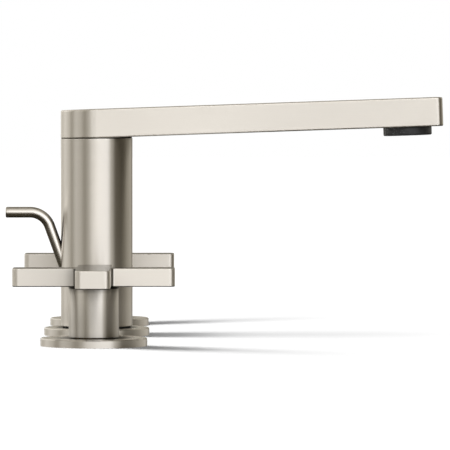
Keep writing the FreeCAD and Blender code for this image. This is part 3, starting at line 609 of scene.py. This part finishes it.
# A chamfered hexagon: the chamfer is a cone that starts at the circle inside the flats, so it comes down the
# further the side reaches out, which cuts the usual arcs.
def hexagonRows(flats, low, high, around):
    reach = hexagonReach(flats, around)
    circle = chamfer["circle"] * flats + 0 * reach
    cut = (reach - circle) * chamfer["slope"]
    height = np.hstack([low + 0 * reach, low + cut, high - cut, high + 0 * reach])
    return np.hstack([circle, reach, reach, circle]), height


# Carries rows of radius and height round an axis through a place. Point = place + height * axis + radius *
# (cos(angle) * side + sin(angle) * other), where side is level.
def aroundAxis(rows, place, axis=(0, 0, 1)):
    axis = unit(np.array(axis, float))
    side = np.cross(axis, (0, 0, 1))
    side = unit(side) if side.any() else np.array((1.0, 0, 0))
    other = np.cross(axis, side)
    radius, height = rows
    angle = ringAngles(len(radius))
    return (np.array(place, float) + height[..., None] * axis
            + (radius * np.cos(angle))[..., None] * side + (radius * np.sin(angle))[..., None] * other)


# Every cell of a grid of points is one face. The grid closes round the axis, and a closed outline closes the
# other way too.
def gridFaces(shape, closed):
    index = np.arange(shape[0] * shape[1]).reshape(shape)
    index = np.vstack([index, index[:1]])
    if closed:
        index = np.hstack([index, index[:, :1]])
    return np.stack([index[:-1, :-1], index[1:, :-1], index[1:, 1:], index[:-1, 1:]], -1).reshape(-1, 4)


# Makes a piece from a grid of points. Points at the same place become one, which makes the poles. Its
# material is the finish of its slot where no other is given.
def makePiece(name, points, slot, body="faucet", replaced=(), closed=True, material=None, attributes=None):
    mesh = bpy.data.meshes.new(name)
    mesh.from_pydata((points.reshape(-1, 3) * mm).tolist(), [], gridFaces(points.shape[:2], closed).tolist())
    for label, values in (attributes or {}).items():
        layer = mesh.attributes.new(label, "FLOAT_VECTOR", "POINT")
        layer.data.foreach_set("vector", values.reshape(-1).astype(np.float32))
    bm = bmesh.new()
    bm.from_mesh(mesh)
    bmesh.ops.remove_doubles(bm, verts=bm.verts, dist=merging["gap"])
    bmesh.ops.recalc_face_normals(bm, faces=bm.faces)
    bm.to_mesh(mesh)
    bm.free()
    mesh.shade_smooth()
    mesh.set_sharp_from_angle(angle=math.radians(merging["crease"]))
    mesh.materials.append(material or finishes[slot])
    piece = bpy.data.objects.new(name, mesh)
    bpy.context.scene.collection.objects.link(piece)
    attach(piece, body)
    if replaced:
        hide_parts(*replaced)


# a thin black ring in the foot of each skirt, on which the handle glides over its escutcheon
glideRing = {"inner": 9.95, "outer": 10.45, "low": 4.05, "high": 6.4, "round": 0.15}


# The outline is a rectangle with soft corners.
def glideRingRows(around=96):
    inner, outer, soft = glideRing["inner"], glideRing["outer"], glideRing["round"]
    low, high = glideRing["low"], glideRing["high"]
    return joinRows(around, plainRows(
        (inner, low, soft), (outer, low, soft), (outer, high, soft), (inner, high, soft)))


for side in handles:
    makePiece(side + "GlideRing", aroundAxis(glideRingRows(), (*deckSpots[side], 0)), "black_plastic",
              side + "_handle")
print("glide rings ready")

# a black seal between the column's level top and the underside of the rising arm, so it is a wedge all round
seal = {
    "inner": 16.6, "outer": 18.55, "foot": 103.21, "top": 103.94,
    "rise": 2.0,  # degrees
    "bevel": (0.1, 0.05, 0.05),  # widths of the inner and the outer edges' bevel, and its height
}


# The foot is level, and the top's height = top + radius * tan(rise) * cos(angle). A bevel is as high as the
# dictionary says, or a third of the seal where that is less.
def sealRows(around=144):
    inner, outer = seal["inner"], seal["outer"]
    innerBevel, outerBevel, bevelHeight = seal["bevel"]
    out = np.array([[inner, inner + innerBevel, outer - outerBevel, outer]])
    high = seal["top"] + out[:, ::-1] * climbAlongX(seal["rise"], around)
    low = seal["foot"] + 0 * high
    soft = np.minimum(bevelHeight, (high - low) / 3) * (1, 0, 0, 1)
    radius = np.hstack([out, out[:, ::-1]])
    return np.broadcast_to(radius, (around, radius.shape[1])), np.hstack([low + soft, high - soft])


makePiece("columnSeal", aroundAxis(sealRows(), (0, 0, 0)), "black_rubber")

# the column's upper rim, a thin ring on its bevelled edge that stands up round the seal, so the seam is thin
columnRim = {
    "inner": 18.6, "outer": 18.85, "foot": 102.9, "top": 103.65,
    "rise": 0.7,  # degrees
    "round": 0.1,
}


# The foot follows the column's bevel all round, and the top rises a little along X: a point climbs by its
# share of the height * radius * tan(rise) * cos(angle).
def rimRows(around=192):
    inner, outer, foot, top = columnRim["inner"], columnRim["outer"], columnRim["foot"], columnRim["top"]
    seat = foot + outer - inner
    radius, height = plainRows(
        (inner, seat, 0), (outer, foot, 0), (outer, top, columnRim["round"]), (inner, top, 0))
    share = np.clip((height - seat) / (top - seat), 0, 1)
    return joinRows(around, (radius, height + share * radius * climbAlongX(columnRim["rise"], around)))


makePiece("columnRim", aroundAxis(rimRows(), (0, 0, 0)), "brushed_nickel",
          material=nodes["spout_column"].data.materials[0])
print("column seal and rim ready")


# the lift rod, bent over at the top, with soft ends
rod = {
    "radius": 2.85,
    "end": -47.93,  # X of the free end
    "bend": (-35.124, 53.7, 11.0),  # X and Z of the bend's centre, and its radius
    "lean": 20.0,  # degrees from upright
    "foot": -95.0,  # height of the lower end
    "round": 0.7,
    "points": (7, 8, 33, 30),  # along each soft end, the level run, the bend and the leaning run
}


# A circle carried along the rod's line, at length s from the free end: a level run, then round the bend, then
# the leaning run. The radius comes in as a quarter circle at both ends.
def liftRodSkin(around=64):
    bendX, bendZ, bendRadius = rod["bend"]
    lean = math.radians(rod["lean"])
    turn = math.pi / 2 - lean
    level, arc = bendX - rod["end"], bendRadius * turn
    total = level + arc + (bendZ + bendRadius * math.sin(lean) - rod["foot"]) / math.cos(lean)
    soft = rod["round"]
    tipPoints, levelPoints, bendPoints, leanPoints = rod["points"]
    tip = soft * (1 - np.cos(np.linspace(0, math.pi / 2, tipPoints)))
    s = np.concatenate([
        [0], tip, np.linspace(tip[-1], level, levelPoints)[1:],
        np.linspace(level, level + arc, bendPoints)[1:],
        np.linspace(level + arc, total - soft, leanPoints)[1:], (total - tip[::-1])[1:], [total]])
    near = np.minimum(np.minimum(s, total - s), soft)
    radius = rod["radius"] - soft + np.sqrt(soft ** 2 - (soft - near) ** 2)
    radius[[0, -1]] = 0
    bent = np.clip((s - level) / bendRadius, 0, turn)
    onLevel, onRun = np.minimum(s - level, 0), np.maximum(s - level - arc, 0)
    x = bendX + onLevel + bendRadius * np.sin(bent) + onRun * math.sin(lean)
    z = bendZ + bendRadius * np.cos(bent) - onRun * math.cos(lean)
    ahead = np.stack([np.cos(bent), 0 * s, -np.sin(bent)], -1)
    outward = np.stack([np.sin(bent), 0 * s, np.cos(bent)], -1)
    angle = ringAngles(around)
    byY, byOutward = radius * np.cos(angle), radius * np.sin(angle)
    points = np.stack([x, 0 * s, z], -1) + byY[..., None] * (0, 1.0, 0) + byOutward[..., None] * outward
    straight = np.stack([byY, byOutward, s + 0 * byY], -1) * mm
    return points, {"straight": straight, "lengthwise": ahead + 0 * points}


rodPoints, rodGrain = liftRodSkin()
makePiece("liftRod", rodPoints, "brushed_nickel", "lift_rod", ["lift_rod"], closed=False,
          material=brushedNickel("rodNickel", "rod"), attributes=rodGrain)
print("lift rod ready")


# the aerator housing: a collar with a soft lower edge and a screw thread above it
aerator = {
    "along": 163.9,  # from the column's axis, along the arm's underside
    "underside": 103.9583,  # height of the arm's underside on the column's axis
    "rise": 2.0,  # degrees
    "bore": 10.3,
    "collar": (12.75, -4.5, -0.05),  # radius, lower and upper end
    "round": (0.8, 0.15),  # of the collar's lower and upper edge
    "mouth": 0.35,  # rounding of the bore's lower edge
    "thread": (11.9, 0.55, 1.1),  # outer radius, depth and pitch
    "ends": ((0, 0, 0.6), (0, 0, 0.3)),
    "top": 6.2,
}


# Tilts points with the arm and lifts them to it: X = x * cos(rise) - z * sin(rise), and Z = underside + x *
# sin(rise) + z * cos(rise).
def onArm(points):
    rise = math.radians(aerator["rise"])
    x, y, z = points[..., 0], points[..., 1], points[..., 2]
    return np.stack([x * math.cos(rise) - z * math.sin(rise), y,
                     aerator["underside"] + x * math.sin(rise) + z * math.cos(rise)], -1)


# The outline runs down the bore, round the collar and up the thread.
def aeratorRows(around=144):
    outer, low, high = aerator["collar"]
    lowRound, highRound = aerator["round"]
    bore, top, neck = aerator["bore"], aerator["top"], rootRadius(aerator["thread"])
    return joinRows(
        around,
        plainRows((bore, top, 0), (bore, low, aerator["mouth"]), (outer, low, lowRound),
                  (outer, high, highRound), (neck, high, 0)),
        screwRows(aerator["thread"], high, top, aerator["ends"], around))


makePiece("aeratorCollar", onArm(aroundAxis(aeratorRows(), (aerator["along"], 0, 0))), "black_plastic",
          replaced=["aerator_housing"])
print("aerator ready")


# under the deck: the spout's threaded stud, its nut, and the nuts that lock the valves
stud = {
    "place": (2.0, -9.5), "low": -56.0, "high": 13.8, "thread": (4.0, 0.65, 1.25),
    "ends": ((0.3, 0.5, 1.0), (0.3, 0.5, 1.0)),
}
studNut = {"flats": 13.0, "bore": 4.05, "low": -40.5, "high": -34.0, "lead": 0.6}
lockNut = {"flats": 38.0, "bore": 14.55, "low": -41.0, "high": -33.5, "lead": 0.8}


# The outline runs from the pole at the lower end up the thread to the pole at the upper end.
def studRows(around=48):
    low, high = stud["low"], stud["high"]
    return joinRows(
        around, plainRows((0, low, 0)), screwRows(stud["thread"], low, high, stud["ends"], around),
        plainRows((0, high, 0)))


# A chamfered hexagon outside, and a bore that widens by its lead at both ends.
def nutRows(nut, around=96):
    bore, low, high, lead = nut["bore"], nut["low"], nut["high"], nut["lead"]
    return joinRows(
        around,
        plainRows((bore, low + lead, 0), (bore + lead, low, 0)),
        hexagonRows(nut["flats"], low, high, around),
        plainRows((bore + lead, high, 0), (bore, high - lead, 0)))


makePiece("studThread", aroundAxis(studRows(), (*stud["place"], 0)), "zinc_steel", replaced=["mounting_stud"],
          closed=False)
makePiece("studNut", aroundAxis(nutRows(studNut), (*stud["place"], 0)), "brass", replaced=["stud_nut"])
print("stud and nut ready")

# valve bodies: a threaded barrel with a threaded inlet below it and a hose port towards the spout
valve = {
    "thread": (14.5, 0.75, 1.5),
    "barrel": (-64.0, -0.5),  # lower and upper end
    "ends": ((0.4, 0.5, 0.9), (0, 0.5, 0.9)),
    "rowsPerPitch": 8,
    "neck": (10.6, 3.8, 0.4),  # radius, top, and rounding of its edge
    "inletThread": (10.35, 0.95, 1.8),
    "inletEnds": ((0.3, 0.4, 0.8), (0, 2.0, 2.2)),
    "foot": -84.0,
    "bore": 6.5,
    "mouth": 0.5,  # rounding of the bore's lower edge
    "seat": (4.2, -18.7),  # radius of the way through it, and height
    "chamber": 8.8,
    "gallery": (10.3, -11.35, -5.65),  # radius, lower and upper end
    "portHeight": -55.5,
    "portTurn": 20.0,  # degrees from the Y axis, towards the wall
    "portStart": 12.0,
    "portReach": 29.0,
}
port = {
    "shoulder": 7.5, "thread": (6.5, 0.6, 1.2), "ends": ((0, 0.8, 0.8), (0.4, 0.5, 0.6)), "bore": 3.5,
    "nipple": 12.0, "round": 0.5,
    "floor": (1.0, 3.0),  # radius of the middle of its closed inner end, and thickness
}


# The outline runs down the inside from the chamber's mouth, and up the outside over both threads.
def valveRows(around=96):
    low, high = valve["barrel"]
    bore, foot, (seat, seatZ), chamber = valve["bore"], valve["foot"], valve["seat"], valve["chamber"]
    gallery, galleryLow, galleryHigh = valve["gallery"]
    neck, top, neckRound = valve["neck"]
    footRadius = rootRadius(valve["inletThread"]) - valve["inletEnds"][0][0]
    return joinRows(
        around,
        plainRows((chamber, top, 0), (chamber, galleryHigh, 0), (gallery, galleryHigh, 0),
                  (gallery, galleryLow, 0), (chamber, galleryLow, 0), (chamber, seatZ, 0), (seat, seatZ, 0),
                  (seat, low, 0), (bore, low, 0), (bore, foot, valve["mouth"]), (footRadius, foot, 0)),
        screwRows(valve["inletThread"], foot, low, valve["inletEnds"], around),
        screwRows(valve["thread"], low, high, valve["ends"], around, valve["rowsPerPitch"]),
        plainRows((neck, high, 0), (neck, top, neckRound), (chamber, top, 0)))


# A hose port along its own axis: a hexagon shoulder, a threaded nipple, and a bore closed at its inner end.
def portRows(start, reach, around=72):
    bore, shoulder = port["bore"], reach - port["nipple"]
    middle, thick = port["floor"]
    mouth = rootRadius(port["thread"]) - port["ends"][1][0]
    return joinRows(
        around,
        plainRows((0, start, 0), (middle, start, 0)),
        hexagonRows(port["shoulder"] * math.sqrt(3), start, shoulder, around),
        screwRows(port["thread"], shoulder, reach, port["ends"], around),
        plainRows((mouth, reach, 0), (bore, reach, port["round"]), (bore, start + thick, 0),
                  (0, start + thick, 0)))


# Which way a port points: along Y by the sign of way, and turned from there towards the wall at -X.
def portAxis(turn, way):
    angle = math.radians(turn)
    return (-math.sin(angle), way * math.cos(angle), 0)


for side, way in handles.items():
    x, y = deckSpots[side]
    makePiece(side + "ValveBody", aroundAxis(valveRows(), (x, y, 0)), "brass",
              replaced=[side + "_valve_body"])
    makePiece(side + "ValvePort", aroundAxis(
        portRows(valve["portStart"], valve["portReach"]), (x, y, valve["portHeight"]),
        portAxis(valve["portTurn"], -way)), "brass", closed=False)
    makePiece(side + "LockNut", aroundAxis(nutRows(lockNut, around=144), (x, y, 0)), "brass",
              replaced=[side + "_lock_nut"])
print("valves ready")

# the tee under the spout, soldered to the water tube, with two hose ports
tee = {
    "place": (2.0, 9.0), "radius": 8.0, "low": -79.0, "high": -57.0, "round": 0.8,
    "socket": (5.1, -66.0),  # radius and floor
    "portHeight": -70.5, "portStart": 6.5, "portReach": 24.0,
    "portTurn": {"hot": 25.0, "cold": -25.0},  # degrees from the Y axis to the wall, or away if negative
}
solder = {
    "tube": 5.0, "reach": 6.3, "rise": 1.3,
    "sink": 0.3,  # below the tee's top
    "points": 8,
}


# A round block with soft edges and a socket for the tube in its top.
def teeRows(around=72):
    radius, low, high, soft = tee["radius"], tee["low"], tee["high"], tee["round"]
    socket, depth = tee["socket"]
    return joinRows(around, plainRows(
        (0, low, 0), (radius, low, soft), (radius, high, soft), (socket, high, 0), (socket, depth, 0),
        (0, depth, 0)))


# A small concave fillet: a quarter circle from the tube's wall to the tee's top, closed below.
def solderRows(around=72):
    tube, outer, rise, top = solder["tube"], solder["reach"], solder["rise"], tee["high"]
    bend = np.linspace(0, math.pi / 2, solder["points"])
    radius = tube + (outer - tube) * (1 - np.sin(bend))
    height = top + rise * (1 - np.cos(bend))
    return joinRows(around, (radius[None], height[None]), plainRows(
        (tube, top + rise, 0), (tube, top - solder["sink"], 0), (outer, top - solder["sink"], 0)))


makePiece("supplyTee", aroundAxis(teeRows(), (*tee["place"], 0)), "brass", replaced=["supply_tee"],
          closed=False)
for side, way in handles.items():
    makePiece(side + "TeePort", aroundAxis(
        portRows(tee["portStart"], tee["portReach"]), (*tee["place"], tee["portHeight"]),
        portAxis(tee["portTurn"][side], way)), "brass", closed=False)
makePiece("solderRing", aroundAxis(solderRows(), (*tee["place"], 0)), "zinc_steel")
print("supply tee ready")

# grub screws that hold the crosses on their stems
grub = {
    "thread": (2.5, 0.35, 0.8), "ends": ((0.85, 0.6, 0.6), (0.2, 0.3, 0.4)), "length": 5.0,
    "inner": 4.08,  # from the stem's axis to the point
    "height": 19.55,
    "cup": (1.0, 0.5),  # radius and depth of the hollow in the point
    "socket": (2.5, 2.5, 0.4),  # flats, depth, and depth of the drill point under it
}


# The outline runs from the cupped point round the thread to the outer end, and down into the hexagon socket,
# which ends in a drill point.
def grubRows(around=60):
    length, (cupRadius, cup), (flats, deep, drill) = grub["length"], grub["cup"], grub["socket"]
    wall = hexagonReach(flats, around)
    floor = length - deep
    return joinRows(
        around,
        plainRows((0, cup, 0), (cupRadius, 0, 0)),
        screwRows(grub["thread"], 0, length, grub["ends"], around),
        (wall, length + 0 * wall), (wall, floor + 0 * wall), plainRows((0, floor - drill, 0)))


for side in handles:
    x, y = deckSpots[side]
    makePiece(side + "GrubScrew", aroundAxis(grubRows(), (x - grub["inner"], y, grub["height"]), (-1, 0, 0)),
              "zinc_steel", side + "_handle", [side + "_set_screw"], closed=False)
print("grub screws ready")
